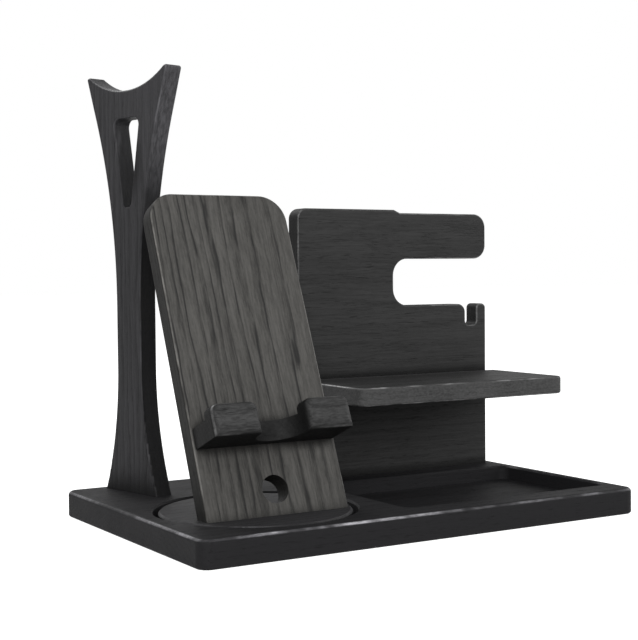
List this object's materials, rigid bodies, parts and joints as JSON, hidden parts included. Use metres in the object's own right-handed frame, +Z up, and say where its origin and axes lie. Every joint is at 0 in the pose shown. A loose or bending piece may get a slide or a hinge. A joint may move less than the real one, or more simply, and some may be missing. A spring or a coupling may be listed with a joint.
{
  "type": "desk docking station",
  "caption": "Wooden desk organiser with a turning phone stand, headphone stand, tray, glasses shelf, watch arm, key peg and rear tablet ledge.",
  "frame": {"origin": "middle of the base board's flat underside, on the surface it stands on", "axes": "+X along the base to the right, from the phone stand to the tray; +Y to the back; +Z up"},
  "size_m": [0.2896, 0.1955, 0.2658],
  "materials": {
    "black_stained_wood": "black stained oak with a satin sheen, edges worn a little lighter",
    "grey_streaked_wood": "charcoal stained oak with strong upright grain and dark streaks",
    "plain_dowel_wood": "plain beech dowel",
    "blackened_screws": "black phosphate",
    "bolt_steel": "zinc plated steel",
    "white_glide_plastic": "smooth slippery plastic"
  },
  "bodies": {
    "station": {"base_board": "black_stained_wood", "base_screws": "blackened_screws", "glide_washer": "white_glide_plastic", "upright_board": "black_stained_wood", "glasses_shelf": "black_stained_wood", "shelf_screws": "blackened_screws", "shelf_dowels": "plain_dowel_wood", "tablet_ledge": "black_stained_wood", "tablet_ledge_dowels": "plain_dowel_wood", "headphone_stand": "black_stained_wood"},
    "turntable": {"turntable_disc": "black_stained_wood", "pivot_insert": "bolt_steel", "pivot_bolt": "bolt_steel", "phone_board": "grey_streaked_wood", "phone_board_screws": "blackened_screws", "phone_ledge": "black_stained_wood", "ledge_screws": "blackened_screws"}
  },
  "joints": [
    {"name": "turntable_swivel", "type": "hinge", "parent": "station", "child": "turntable", "pos_m": [-0.0788, -0.0275, 0.0152], "axis": [0, 0, 1], "continuous": true}
  ]
}
